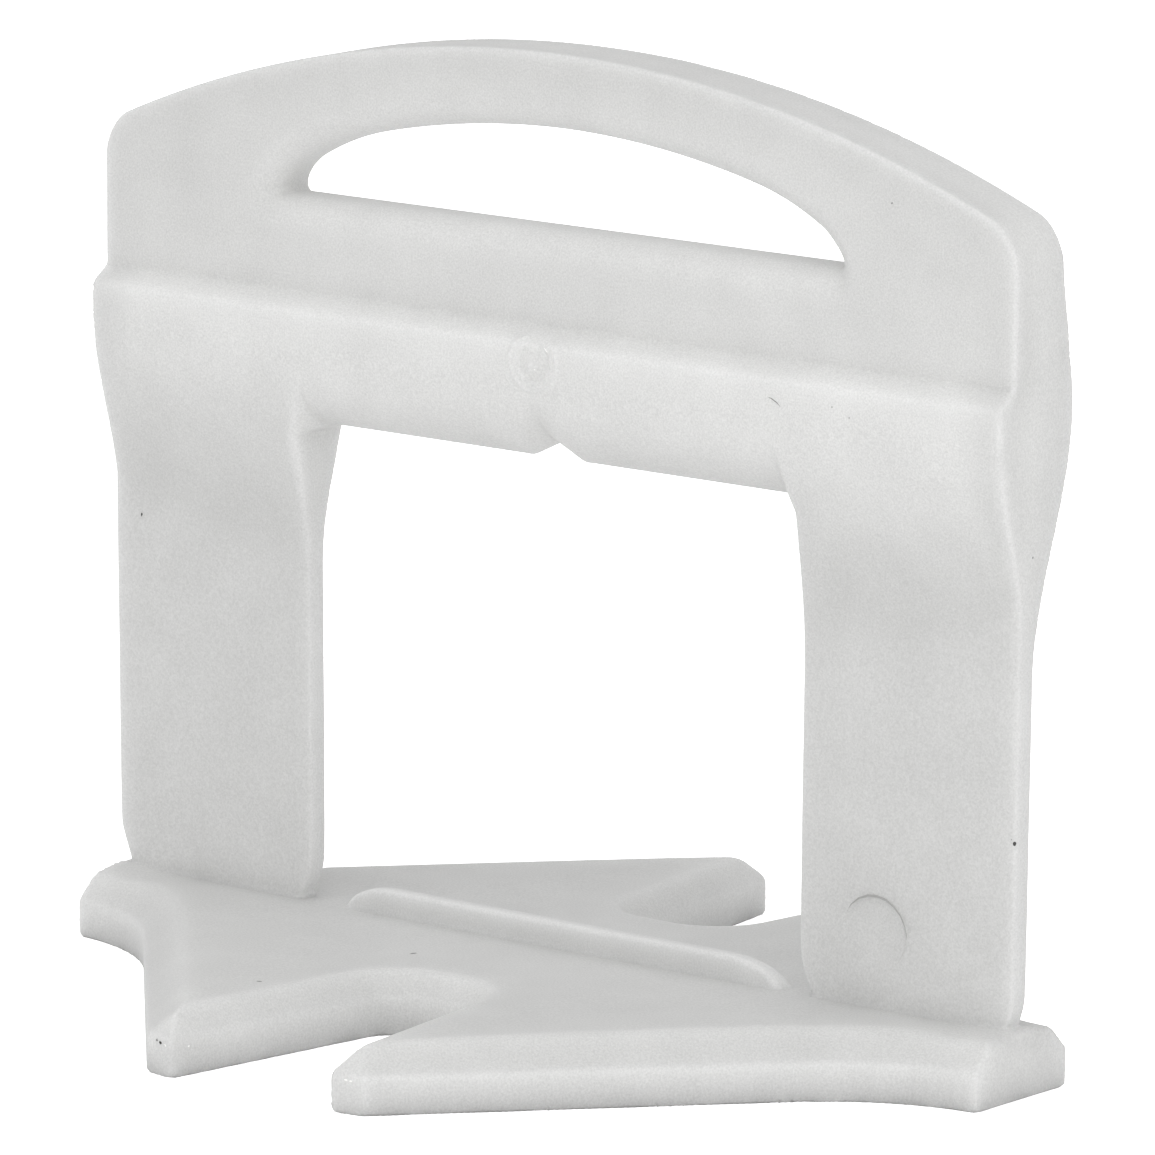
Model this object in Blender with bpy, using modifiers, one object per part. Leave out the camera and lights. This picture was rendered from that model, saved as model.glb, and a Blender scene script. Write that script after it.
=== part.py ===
# Tile levelling clip, moulded in one piece of polypropylene.
#
# A spacer foot with four wings lies under the tiles. A bridge stands on it: two thin legs
# in the joint, a thick crossbar that the wedge pushes up against, and a handle plate.
# The legs are broken off at their narrowed necks when the adhesive has set.
#
# Frame: X along the bridge, Y through it (the front, with the gate, faces -Y), Z up.
# The origin is under the middle of the foot, on the plane that the clip stands on.

from math import acos, atan2, cos, pi, radians, sin, sqrt

import bmesh
import bpy
from mathutils import Matrix, Vector

MM = 0.001

# Bridge, seen from the front
BRIDGE_WIDTH = 50.0 * MM
WINDOW_WIDTH = 27.3 * MM
WINDOW_TOP = 24.1 * MM
CREST_ABOVE_WINDOW = 5.3 * MM
HANDLE_HEIGHT = 12.3 * MM
ARCH_RADIUS = 64.0 * MM
SHOULDER_RADIUS = 1.6 * MM
CREST_HEIGHT = WINDOW_TOP + CREST_ABOVE_WINDOW
HANDLE_TOP = CREST_HEIGHT + HANDLE_HEIGHT

# Hand hole in the handle
SLOT_ABOVE_CREST = 4.4 * MM
SLOT_HEIGHT = 4.7 * MM
SLOT_RADIUS = 46.5 * MM
SLOT_SIDE = 16.3 * MM
SLOT_SHOULDER_RADIUS = 4.0 * MM
SLOT_END_RADIUS = 0.4 * MM

# Bridge, seen from the side: how far each face stands from the plane of the legs
LEG_THICKNESS = 1.0 * MM
FADE_BELOW_WINDOW = 5.9 * MM
FRONT_BULGE = 1.93 * MM
REAR_BULGE = 2.9 * MM
FRONT_HANDLE = 0.97 * MM
REAR_HANDLE = 2.1 * MM
CREST_BAND = 0.8 * MM
LEDGE_HEIGHT = 0.9 * MM
REAR_TAPER_HEIGHT = 7.0 * MM
UNDERSIDE_ROUNDING = 0.95 * MM
BRIDGE_EDGE_ROUNDING = 0.28 * MM
FADE_START = WINDOW_TOP - FADE_BELOW_WINDOW

# Notch in the middle of the crossbar, and the necks where the legs break off
NOTCH_HALF_WIDTH = 1.5 * MM
NOTCH_DEPTH = 0.8 * MM
NECK_HEIGHT = 2.6 * MM
NECK_INNER_CUT = 0.9 * MM
NECK_OUTER_CUT = 0.6 * MM

# Foot, seen from above
FOOT_END_STEP = 0.1 * MM
END_HALF_WIDTH = 3.15 * MM
WAIST_RADIUS = 10.5 * MM
WING_REACH = 20.2 * MM
WING_ANGLE = radians(48.0)
TIP_WIDTH = 1.55 * MM
TIP_SLANT = 0.45 * MM
GAP_MOUTH_HALF_WIDTH = 4.3 * MM
GAP_FLOOR_HALF_WIDTH = 2.9 * MM
GAP_FLOOR = 7.9 * MM
GAP_CORNER_RADIUS = 1.5 * MM

# Foot, seen from the side
WALL_HEIGHT = 1.65 * MM
FOOT_HEIGHT = 2.75 * MM
BEVEL_INSET = 1.05 * MM

# Rib between the legs
RIB_THICKNESS = 1.0 * MM
RIB_RISE = 1.17 * MM
RIB_TO_LEG = 1.35 * MM
RIB_END_LENGTH = 3.3 * MM

# Marks of the mould on the front
GATE_BELOW_CREST = 0.95 * MM
GATE_RADIUS = 1.25 * MM
GATE_RING_WIDTH = 0.3 * MM
GATE_RELIEF = 0.12 * MM
PIN_FROM_WINDOW = 3.95 * MM
PIN_ABOVE_FOOT = 3.25 * MM
PIN_RADIUS = 1.95 * MM
PIN_DEPTH = 0.12 * MM

# How far a tool or a joined shape runs past the face that it works on
OVERLAP = 1.0 * MM

# Outlines are drawn flat and then turned, so that their height becomes Z.
# From the front their width is X, and their thickness runs towards the front (-Y).
# From the side their width is Y, and their thickness runs along +X.
FROM_ABOVE = Matrix.Identity(4)
FROM_FRONT = Matrix(((1, 0, 0, 0), (0, 0, -1, 0), (0, 1, 0, 0), (0, 0, 0, 1)))
FROM_SIDE = Matrix(((0, 0, 1, 0), (1, 0, 0, 0), (0, 1, 0, 0), (0, 0, 0, 1)))

BODY_NAME = "levelling_clip"


def remove_old_objects():
    for old in list(bpy.data.objects):
        bpy.data.objects.remove(old, do_unlink=True)


def new_collection(name):
    group = bpy.data.collections.new(name)
    bpy.context.scene.collection.children.link(group)
    return group


def natural_polypropylene():
    """Milky, undyed polypropylene as it leaves the mould."""
    material = bpy.data.materials.new("natural_polypropylene")
    material.use_nodes = True
    shader = material.node_tree.nodes["Principled BSDF"]
    shader.inputs["Base Color"].default_value = (0.80, 0.80, 0.79, 1.0)
    shader.inputs["Roughness"].default_value = 0.38
    shader.inputs["Metallic"].default_value = 0.0
    return material


def arc(centre, radius, start, end, steps):
    """Points on a circle from angle start to angle end, both ends kept."""
    turn = (end - start) / steps
    points = []
    for i in range(steps + 1):
        angle = start + turn * i
        points.append(Vector((centre[0] + radius * cos(angle), centre[1] + radius * sin(angle))))
    return points


def mirrored(points):
    """The same points on the other side of the middle, in the opposite order."""
    return [Vector((-point.x, point.y)) for point in reversed(points)]


def smooth_step(share):
    return share * share * (3.0 - 2.0 * share)


def outline_solid(name, outline, low, high, placing, group):
    """A flat curve, extruded from low to high along its normal and made a closed mesh."""
    curve = bpy.data.curves.new(name, "CURVE")
    curve.dimensions = "2D"
    curve.fill_mode = "NONE"
    curve.extrude = (high - low) / 2
    spline = curve.splines.new("POLY")
    spline.points.add(len(outline) - 1)
    for place, point in zip(spline.points, outline):
        place.co = (point[0], point[1], 0.0, 1.0)
    spline.use_cyclic_u = True
    drawn = bpy.data.objects.new(name + "_outline", curve)
    group.objects.link(drawn)
    drawn.matrix_world = placing @ Matrix.Translation((0.0, 0.0, (low + high) / 2))
    bpy.context.view_layer.update()
    graph = bpy.context.evaluated_depsgraph_get()
    mesh = bpy.data.meshes.new_from_object(drawn.evaluated_get(graph))
    mesh.name = name
    mesh.transform(drawn.matrix_world)
    solid = bpy.data.objects.new(name, mesh)
    group.objects.link(solid)
    solid.hide_render = True
    solid.display_type = "WIRE"
    bpy.data.objects.remove(drawn, do_unlink=True)
    close_ends(solid)
    return solid


def close_ends(solid):
    """Gives an extruded curve one flat face at each end, whatever its outline."""
    shape = bmesh.new()
    shape.from_mesh(solid.data)
    bmesh.ops.remove_doubles(shape, verts=shape.verts, dist=0.001 * MM)
    rims = [edge for edge in shape.edges if edge.is_boundary]
    bmesh.ops.holes_fill(shape, edges=rims, sides=0)
    bmesh.ops.recalc_face_normals(shape, faces=shape.faces)
    shape.to_mesh(solid.data)
    shape.free()


def apply_modifiers(solid):
    bpy.context.view_layer.update()
    graph = bpy.context.evaluated_depsgraph_get()
    finished = bpy.data.meshes.new_from_object(solid.evaluated_get(graph))
    solid.modifiers.clear()
    solid.data = finished


def combine(solid, tool, operation):
    """Joins the tool to the solid, cuts it away, or keeps what they share."""
    modifier = solid.modifiers.new(tool.name, "BOOLEAN")
    modifier.operation = operation
    modifier.solver = "EXACT"
    modifier.object = tool
    apply_modifiers(solid)
    shape = bmesh.new()
    shape.from_mesh(solid.data)
    bmesh.ops.remove_doubles(shape, verts=shape.verts, dist=0.002 * MM)
    bmesh.ops.dissolve_degenerate(shape, edges=shape.edges, dist=0.002 * MM)
    shape.to_mesh(solid.data)
    shape.free()


def face_distance(height, bulge):
    """How far the front or the rear face stands from the plane of the legs, up to the crest."""
    leg = LEG_THICKNESS / 2
    full = CREST_HEIGHT - CREST_BAND
    share = (height - FADE_START) / (full - FADE_START)
    return leg + (bulge - leg) * smooth_step(min(max(share, 0.0), 1.0))


def bridge_side():
    """The bridge's section: thin leg, bulge of the crossbar, ledge and handle plate."""
    foot = WALL_HEIGHT / 2
    steps = 9
    rise = (CREST_HEIGHT - CREST_BAND - FADE_START) / steps
    heights = [foot] + [FADE_START + rise * i for i in range(steps + 1)]
    front = [Vector((-face_distance(height, FRONT_BULGE), height)) for height in heights]
    rear = [Vector((face_distance(height, REAR_BULGE), height)) for height in heights]
    above = HANDLE_TOP + OVERLAP
    slope = FRONT_BULGE - FRONT_HANDLE
    front.append(Vector((-FRONT_BULGE + 0.1 * slope, CREST_HEIGHT)))
    front.append(Vector((-FRONT_HANDLE - 0.1 * slope, CREST_HEIGHT + 0.75 * LEDGE_HEIGHT)))
    front.append(Vector((-FRONT_HANDLE, CREST_HEIGHT + LEDGE_HEIGHT)))
    front.append(Vector((-FRONT_HANDLE, above)))
    taper = min(REAR_TAPER_HEIGHT, HANDLE_TOP - CREST_HEIGHT)
    taper_steps = 3
    for i in range(1, taper_steps + 1):
        share = i / taper_steps
        distance = REAR_BULGE - (REAR_BULGE - REAR_HANDLE) * sin(share * pi / 2)
        rear.append(Vector((distance, CREST_HEIGHT + taper * share)))
    rear.append(Vector((REAR_HANDLE, above)))
    return front + rear[::-1]


def neck_corner(x, towards):
    """A quarter of an ellipse that narrows a leg down to the neck where it breaks off."""
    cut = abs(towards)
    direction = towards / cut
    top = FOOT_HEIGHT + NECK_HEIGHT
    steps = 5
    points = []
    for i in range(steps + 1):
        angle = pi / 2 * i / steps
        across = x + direction * cut * (1.0 - cos(angle))
        points.append(Vector((across, top - NECK_HEIGHT * sin(angle))))
    return points


def bridge_front():
    """The bridge's outline from the front, open at the bottom between its legs."""
    half = BRIDGE_WIDTH / 2
    inner = WINDOW_WIDTH / 2
    centre = HANDLE_TOP - ARCH_RADIUS
    # the shoulder's circle touches the side and the arch from inside
    shoulder_x = half - SHOULDER_RADIUS
    shoulder_z = centre + sqrt((ARCH_RADIUS - SHOULDER_RADIUS) ** 2 - shoulder_x**2)
    meeting = atan2(shoulder_z - centre, shoulder_x)
    foot = WALL_HEIGHT / 2
    right = [Vector((inner, WINDOW_TOP))]
    right += neck_corner(inner, NECK_INNER_CUT)
    right.append(Vector((inner + NECK_INNER_CUT, foot)))
    right.append(Vector((half - NECK_OUTER_CUT, foot)))
    right += neck_corner(half, -NECK_OUTER_CUT)[::-1]
    right += arc((shoulder_x, shoulder_z), SHOULDER_RADIUS, 0.0, meeting, 5)
    right += arc((0.0, centre), ARCH_RADIUS, meeting, pi / 2, 12)[1:-1]
    return right + [Vector((0.0, HANDLE_TOP))] + mirrored(right)


def slot_outline():
    """The half-moon hand hole: flat floor, arched top, round shoulders and tight ends."""
    floor = CREST_HEIGHT + SLOT_ABOVE_CREST
    top = floor + SLOT_HEIGHT
    centre = top - SLOT_RADIUS
    # the shoulder's circle touches the arch from inside
    shoulder_x = SLOT_SIDE - SLOT_SHOULDER_RADIUS
    shoulder_z = centre + sqrt((SLOT_RADIUS - SLOT_SHOULDER_RADIUS) ** 2 - shoulder_x**2)
    to_arch = atan2(shoulder_z - centre, shoulder_x)
    # the end's circle touches the floor and the shoulder's circle
    end_z = floor + SLOT_END_RADIUS
    inside = SLOT_SHOULDER_RADIUS - SLOT_END_RADIUS
    lift = max(end_z - shoulder_z, 0.0)
    end_x = shoulder_x + sqrt(inside**2 - lift**2)
    to_end = atan2(lift, end_x - shoulder_x)
    right = arc((end_x, end_z), SLOT_END_RADIUS, -pi / 2, to_end, 4)
    right += arc((shoulder_x, shoulder_z), SLOT_SHOULDER_RADIUS, to_end, to_arch, 5)[1:]
    right += arc((0.0, centre), SLOT_RADIUS, to_arch, pi / 2, 7)[1:-1]
    return right + [Vector((0.0, top))] + mirrored(right)


def notch_outline():
    """The small V in the middle of the crossbar's underside."""
    slope = NOTCH_HALF_WIDTH / NOTCH_DEPTH
    mouth = NOTCH_HALF_WIDTH + slope * OVERLAP
    below = WINDOW_TOP - OVERLAP
    return [
        Vector((-mouth, below)),
        Vector((mouth, below)),
        Vector((0.0, WINDOW_TOP + NOTCH_DEPTH)),
    ]


def round_underside(bridge):
    """Rounds the crossbar's two long lower edges, which the wedge slides along."""
    shape = bmesh.new()
    shape.from_mesh(bridge.data)
    long_edges = []
    for edge in shape.edges:
        first, second = edge.verts
        off_level = abs(first.co.z - WINDOW_TOP) + abs(second.co.z - WINDOW_TOP)
        if off_level < 0.01 * MM and abs(first.co.x - second.co.x) > WINDOW_WIDTH / 2:
            long_edges.append(edge)
    room = 0.45 * (face_distance(WINDOW_TOP, FRONT_BULGE) + face_distance(WINDOW_TOP, REAR_BULGE))
    bmesh.ops.bevel(
        shape,
        geom=long_edges,
        offset=min(UNDERSIDE_ROUNDING, room),
        segments=4,
        profile=0.5,
        affect="EDGES",
    )
    shape.to_mesh(bridge.data)
    shape.free()


def make_bridge(cutters):
    reach = BRIDGE_WIDTH / 2 + OVERLAP
    deep = REAR_BULGE + OVERLAP
    bridge = outline_solid("bridge", bridge_side(), -reach, reach, FROM_SIDE, cutters)
    front = outline_solid("bridge_front", bridge_front(), -deep, deep, FROM_FRONT, cutters)
    combine(bridge, front, "INTERSECT")
    round_underside(bridge)
    notch = outline_solid("notch", notch_outline(), -deep, deep, FROM_FRONT, cutters)
    combine(bridge, notch, "DIFFERENCE")
    slot = outline_solid("slot", slot_outline(), -deep, deep, FROM_FRONT, cutters)
    combine(bridge, slot, "DIFFERENCE")
    rounding = bridge.modifiers.new("edge_rounding", "BEVEL")
    rounding.width = BRIDGE_EDGE_ROUNDING
    rounding.segments = 2
    rounding.limit_method = "ANGLE"
    rounding.angle_limit = radians(40.0)
    apply_modifiers(bridge)
    return bridge


def foot_corner():
    """A quarter of the foot's outline, from the end face round to the floor of the gap."""
    half = BRIDGE_WIDTH / 2 - FOOT_END_STEP
    tip_outer = Vector((GAP_MOUTH_HALF_WIDTH + TIP_WIDTH, WING_REACH - TIP_SLANT))
    tip_inner = Vector((GAP_MOUTH_HALF_WIDTH, WING_REACH))
    # the waist's circle touches the wing's straight edge and the end block's side
    outward = Vector((sin(WING_ANGLE), cos(WING_ANGLE)))
    waist_y = END_HALF_WIDTH + WAIST_RADIUS
    waist_x = (tip_outer.dot(outward) + WAIST_RADIUS - waist_y * outward.y) / outward.x
    past_end = max((waist_x - half) / WAIST_RADIUS, 0.0)
    from_end = -acos(-past_end)
    to_wing = -pi / 2 - WING_ANGLE
    waist = arc((waist_x, waist_y), WAIST_RADIUS, from_end, to_wing, 7)
    corner = [Vector((half, waist[0].y))]
    if waist_x < half:
        corner.append(waist[0])
    corner += waist[1:]
    corner += [tip_outer, tip_inner]
    floor_centre = (GAP_FLOOR_HALF_WIDTH - GAP_CORNER_RADIUS, GAP_FLOOR + GAP_CORNER_RADIUS)
    corner += arc(floor_centre, GAP_CORNER_RADIUS, 0.0, -pi / 2, 5)
    return corner


def foot_outline():
    corner = foot_corner()
    rear = corner + mirrored(corner)
    front = [Vector((point.x, -point.y)) for point in reversed(rear)]
    return rear + front


def make_foot(cutters):
    """An upright wall round the wings, then a bevel up to a flat top."""
    foot = outline_solid("foot", foot_outline(), 0.0, WALL_HEIGHT, FROM_ABOVE, cutters)
    shape = bmesh.new()
    shape.from_mesh(foot.data)
    top = max(shape.faces, key=lambda face: face.calc_center_median().z)
    bmesh.ops.inset_region(
        shape, faces=[top], thickness=BEVEL_INSET, use_even_offset=True, use_boundary=True
    )
    for corner in top.verts:
        corner.co.z = FOOT_HEIGHT
    bmesh.ops.recalc_face_normals(shape, faces=shape.faces)
    shape.to_mesh(foot.data)
    shape.free()
    return foot


def rib_outline():
    """A low strip with long rounded ends, standing clear of the legs."""
    reach = WINDOW_WIDTH / 2 - RIB_TO_LEG
    flat = reach - RIB_END_LENGTH
    steps = 5
    right = [Vector((reach, WALL_HEIGHT / 2))]
    for i in range(steps + 1):
        angle = pi / 2 * i / steps
        across = flat + RIB_END_LENGTH * cos(angle)
        right.append(Vector((across, FOOT_HEIGHT + RIB_RISE * sin(angle))))
    return right + mirrored(right)


def disc(name, radius, x, z, low, high, cutters):
    outline = arc((x, z), radius, 0.0, 2 * pi, 24)[:-1]
    return outline_solid(name, outline, low, high, FROM_FRONT, cutters)


def add_mould_marks(clip, cutters):
    """The gate's raised ring on the crossbar and the ejector pin's sunk disc on a leg."""
    gate_z = CREST_HEIGHT - GATE_BELOW_CREST
    face = face_distance(gate_z, FRONT_BULGE)
    ring = disc("gate_ring", GATE_RADIUS, 0.0, gate_z, face - OVERLAP, face + GATE_RELIEF, cutters)
    combine(clip, ring, "UNION")
    inner = GATE_RADIUS - GATE_RING_WIDTH
    well = disc("gate_well", inner, 0.0, gate_z, face - GATE_RELIEF, face + OVERLAP, cutters)
    combine(clip, well, "DIFFERENCE")
    pin_x = WINDOW_WIDTH / 2 + PIN_FROM_WINDOW
    pin_z = FOOT_HEIGHT + PIN_ABOVE_FOOT
    leg = LEG_THICKNESS / 2
    pin = disc("pin_mark", PIN_RADIUS, pin_x, pin_z, leg - PIN_DEPTH, leg + OVERLAP, cutters)
    combine(clip, pin, "DIFFERENCE")


def make_clip(group, cutters):
    clip = make_foot(cutters)
    rib_half = RIB_THICKNESS / 2
    rib = outline_solid("rib", rib_outline(), -rib_half, rib_half, FROM_FRONT, cutters)
    combine(clip, rib, "UNION")
    combine(clip, make_bridge(cutters), "UNION")
    add_mould_marks(clip, cutters)
    cutters.objects.unlink(clip)
    group.objects.link(clip)
    clip.name = BODY_NAME
    clip.data.name = BODY_NAME
    clip.hide_render = False
    clip.display_type = "TEXTURED"
    clip.data.materials.clear()
    clip.data.materials.append(natural_polypropylene())
    clip.data.shade_smooth()
    clip.data.set_sharp_from_angle(angle=radians(30.0))
    return clip


remove_old_objects()
clip_group = new_collection("tile_levelling_clip")
cutter_group = new_collection("cutters")
finished_clip = make_clip(clip_group, cutter_group)
print(BODY_NAME, "has", len(finished_clip.data.polygons), "faces")
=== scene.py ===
# %% [markdown]
# # A tile levelling clip in natural polypropylene
#
# The clip is one small moulding, 50 mm wide. A flat foot with four wings lies under the tiles, and a
# bridge with a hand hole stands on it. This lesson takes the plain solid from the engineering model and
# gives it the soft edges, the fillets and the milky plastic of the real thing.

# %% Load the frame
from math import cos, pi, radians, sin, sqrt

import bmesh
import bpy
import numpy as np
from mathutils import Matrix, Vector


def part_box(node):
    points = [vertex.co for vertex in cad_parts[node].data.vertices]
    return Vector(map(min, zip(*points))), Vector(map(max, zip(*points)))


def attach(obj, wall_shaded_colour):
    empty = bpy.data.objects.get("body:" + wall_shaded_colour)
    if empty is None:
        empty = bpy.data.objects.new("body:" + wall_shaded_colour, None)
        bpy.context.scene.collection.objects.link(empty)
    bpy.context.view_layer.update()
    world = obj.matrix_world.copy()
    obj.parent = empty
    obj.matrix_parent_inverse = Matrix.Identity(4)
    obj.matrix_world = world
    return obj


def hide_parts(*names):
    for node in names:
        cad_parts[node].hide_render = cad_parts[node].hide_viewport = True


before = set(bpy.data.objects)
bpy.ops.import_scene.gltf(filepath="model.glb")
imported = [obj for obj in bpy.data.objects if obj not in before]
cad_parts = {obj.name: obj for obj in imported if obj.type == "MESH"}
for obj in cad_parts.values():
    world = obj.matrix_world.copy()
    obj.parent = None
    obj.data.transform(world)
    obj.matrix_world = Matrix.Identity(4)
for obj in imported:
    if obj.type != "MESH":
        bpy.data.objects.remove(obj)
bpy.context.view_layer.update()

MM = 0.001
CLIP = "levelling_clip"
cad_low, cad_high = [np.array(corner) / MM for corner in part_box(CLIP)]
print("the solid reaches from", np.round(cad_low, 2), "to", np.round(cad_high, 2), "mm")

# %% [markdown]
# ## The camera
#
# The photograph was taken with a long lens from the right and a little above. A camera like that is easiest
# to place by three angles and a distance: how far it has turned round the object, how far it looks down,
# and how much it leans. The focal length is worked out from the picture's width in pixels, because that
# is how it was measured. A long lens keeps upright edges nearly parallel.

# %% Place the camera
PICTURE_WIDTH = 1155
SENSOR_WIDTH = 36.0
FOCAL_PIXELS = 10000.0
TURN_ROUND = radians(39.19)
LOOK_DOWN = radians(11.098)
LEAN = radians(0.245)
CAMERA_DISTANCE = 431.255
AIM_ACROSS = 0.788
AIM_UP = 18.607


def place_camera():
    back = Vector((sin(TURN_ROUND) * cos(LOOK_DOWN), -cos(TURN_ROUND) * cos(LOOK_DOWN), sin(LOOK_DOWN)))
    right = Vector((cos(TURN_ROUND), sin(TURN_ROUND), 0.0))
    up = back.cross(right)
    eye = (back * CAMERA_DISTANCE + right * AIM_ACROSS + up * AIM_UP) * MM
    leaned_right = right * cos(LEAN) + up * sin(LEAN)
    leaned_up = up * cos(LEAN) - right * sin(LEAN)
    turn = Matrix((leaned_right, leaned_up, back)).transposed()
    lens = bpy.data.cameras.new("product_camera")
    lens.sensor_width = SENSOR_WIDTH
    lens.lens = SENSOR_WIDTH * FOCAL_PIXELS / PICTURE_WIDTH
    lens.clip_end = 10.0
    camera = bpy.data.objects.new("product_camera", lens)
    camera.matrix_world = Matrix.Translation(eye) @ turn.to_4x4()
    bpy.context.scene.collection.objects.link(camera)
    bpy.context.scene.camera = camera
    return camera


camera = place_camera()
print("camera lens", round(camera.data.lens, 1), "mm")

# %% [markdown]
# ## A soft moulding from a distance field
#
# Every edge of a moulded part is a little round, and every wall flows into the next through a small fillet.
# Bevels could round the edges one by one, but they fail where a thin leg, a bevelled foot and a rib meet.
# So the form is written as a field instead: a function that gives, for any point, about how far it lies
# from the surface, negative inside the plastic. Joining two fields softly makes a fillet, and crossing
# two fields softly makes a rounded edge. All lengths in the field are in millimetres.

# %% Soft ways to join and cross fields


def soft_cross(first, second, radius):
    """What both fields share, with the edge between them rounded to the radius."""
    out_first = np.maximum(first + radius, 0.0)
    out_second = np.maximum(second + radius, 0.0)
    inside = np.minimum(np.maximum(first, second), -radius)
    return inside + np.hypot(out_first, out_second)


def soft_join(first, second, radius):
    """What either field holds, with a fillet of the radius in the corner between them."""
    return -soft_cross(-first, -second, radius)


def ease(share):
    """A smooth step from 0 to 1."""
    share = np.clip(share, 0.0, 1.0)
    return share * share * (3.0 - 2.0 * share)


def blend(low, high, share):
    return low + (high - low) * share


print("a fillet of 1 mm in a corner:", soft_join(np.array(0.0), np.array(0.0), 1.0))

# %% [markdown]
# ### The bridge from the front
#
# Seen from the front the bridge is a plate with an arched top, round shoulders, a wide window and a
# half-moon hole for a finger. At its feet each leg draws in to a neck, because that is where it is broken
# off with a kick once the adhesive has set. Circles and straight lines are enough for all of it.

# %% Outline of the bridge
HALF_WIDTH = cad_high[0]
HANDLE_TOP = cad_high[2] + 0.01
ARCH_RADIUS = 61.2
ARCH_SHIFT = 0.02
SHOULDER_RADIUS = 1.32
LEG_DRAFT = 0.011
SIDE_AT_FOOT = -0.257
SIDE_AT_TOP = -0.04
WINDOW_HALF_WIDTH = 13.45
WINDOW_DRAFT = 0.009
WINDOW_TOP = 23.73
WINDOW_CORNER = 0.12
NOTCH_HALF_WIDTH = 1.55
NOTCH_DEPTH = 0.84
LEFT_NECK = (4.75, 0.38, 0.3)
RIGHT_NECK = (4.0, 0.32, 0.3)
INNER_NECK = (4.2, 0.57, 0.5)
SHOULDER_X = 23.0


def neck_cut(z, neck):
    """How far a leg's corner has drawn in at a height: below its top it leans in along a straight line."""
    top, lean, softness = neck
    below = top - z
    return lean * (below + np.hypot(below, softness)) / 2


def outer_outline(x, z):
    arch = np.hypot(x - ARCH_SHIFT, z - HANDLE_TOP + ARCH_RADIUS) - ARCH_RADIUS
    half_width = HALF_WIDTH + np.minimum(SIDE_AT_TOP, SIDE_AT_FOOT + LEG_DRAFT * z)
    side = np.abs(x) - half_width + np.where(x < 0.0, neck_cut(z, LEFT_NECK), neck_cut(z, RIGHT_NECK))
    return soft_cross(arch, side, SHOULDER_RADIUS)


def window_side(x, z):
    return WINDOW_HALF_WIDTH + WINDOW_DRAFT * z + neck_cut(z, INNER_NECK) - np.abs(x)


def underside(x, z):
    notch = np.maximum(1.0 - np.abs(x) / NOTCH_HALF_WIDTH, 0.0)
    return WINDOW_TOP + NOTCH_DEPTH * notch - z


arch_drop = float(outer_outline(np.array(SHOULDER_X), np.array(HANDLE_TOP)))
print("the arch drops", round(arch_drop, 2), "mm at the shoulder")

# %% Half-moon hole
SLOT_FLOOR = 34.03
SLOT_TOP = 38.33
SLOT_RADIUS = 44.9
SLOT_SIDE = 16.63
SLOT_TURN = radians(13.7)
SLOT_TURN_RADIUS = 13.1
SLOT_SIDE_RADIUS = 2.28
SLOT_END_RADIUS = 0.7
SLOT_LIP = 1.35


def slot_outline(x, z):
    """A flat arch that turns into a tighter one towards both ends, closed by a floor."""
    arch = np.hypot(x, z - SLOT_TOP + SLOT_RADIUS) - SLOT_RADIUS
    reach = SLOT_RADIUS - SLOT_TURN_RADIUS
    from_x = np.abs(x) - reach * sin(SLOT_TURN)
    from_z = z - SLOT_TOP + SLOT_RADIUS - reach * cos(SLOT_TURN)
    beyond = from_x * cos(SLOT_TURN) > from_z * sin(SLOT_TURN)
    arch = np.where(beyond, np.hypot(from_x, from_z) - SLOT_TURN_RADIUS, arch)
    moon = soft_cross(arch, np.abs(x) - SLOT_SIDE, SLOT_SIDE_RADIUS)
    return soft_cross(moon, SLOT_FLOOR - z, SLOT_END_RADIUS)


print("the hole is", round(SLOT_TOP - SLOT_FLOOR, 2), "mm high")

# %% [markdown]
# ### Marks of the mould
#
# Plastic enters the mould through a small gate, and where the runner breaks off it leaves a ring with a
# nub in its middle. Pins push the moulding out and leave shallow discs on the legs. Each mark is given by
# its place across and up, its radius and its depth. They are only a tenth or two of a millimetre deep, so
# they are written as a change of the front's distance. A pin that stood a little askew leaves a disc that
# is deep at the top and flush at the bottom.

# %% Gate ring and pin marks
GATE = (0.2, 28.59)
GATE_RING = 1.27
RING_HEIGHT, RING_WIDTH = 0.1, 0.11
GATE_DISH = 0.85
DISH_DEPTH = 0.11
NUB_ASIDE = 0.2
NUB_HEIGHT, NUB_WIDTH = 0.2, 0.2
PIN_MARKS = [(17.55, 6.0, 1.62, 0.16), (-16.5, 5.95, 1.1, 0.03)]
PIN_FLUSH, PIN_ASKEW = 0.6, 0.5
MARK_RIM = 0.15


def ridge(distance, width):
    """A round bump of height 1 over a line, by the distance from it."""
    return np.exp(-((distance / width) ** 2))


def marks(x, z):
    from_gate = np.hypot(x - GATE[0], z - GATE[1])
    relief = RING_HEIGHT * ridge(from_gate - GATE_RING, RING_WIDTH)
    relief = relief - DISH_DEPTH * ease((GATE_DISH - from_gate) / MARK_RIM + 0.5)
    from_nub = np.hypot(x - GATE[0] + NUB_ASIDE, z - GATE[1] + NUB_ASIDE)
    relief = relief + NUB_HEIGHT * ridge(from_nub, NUB_WIDTH)
    for pin_x, pin_z, radius, depth in PIN_MARKS:
        from_pin = np.hypot(x - pin_x, z - pin_z)
        tilt = ease(PIN_FLUSH + (z - pin_z + PIN_ASKEW * (x - pin_x)) / (2 * radius))
        relief = relief - depth * tilt * ease((radius - from_pin) / MARK_RIM + 0.5)
    return relief


print("marks:", 1 + len(PIN_MARKS))

# %% [markdown]
# ### The bridge from the side
#
# The legs must fit in the joint between two tiles, so they are about 1 mm thick. Above the tiles the plate
# swells to the crossbar that the wedge pushes against. On the front the swelling ends in a ledge below the
# handle, and it starts higher at the outer edges of the legs than at the window. On the back it fades
# evenly into the handle. The crossbar's underside is a full round nose that runs out beside the window,
# where the thin legs keep tighter edges. The hole has full round lips, so that nothing cuts the finger that
# pulls there.

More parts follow.
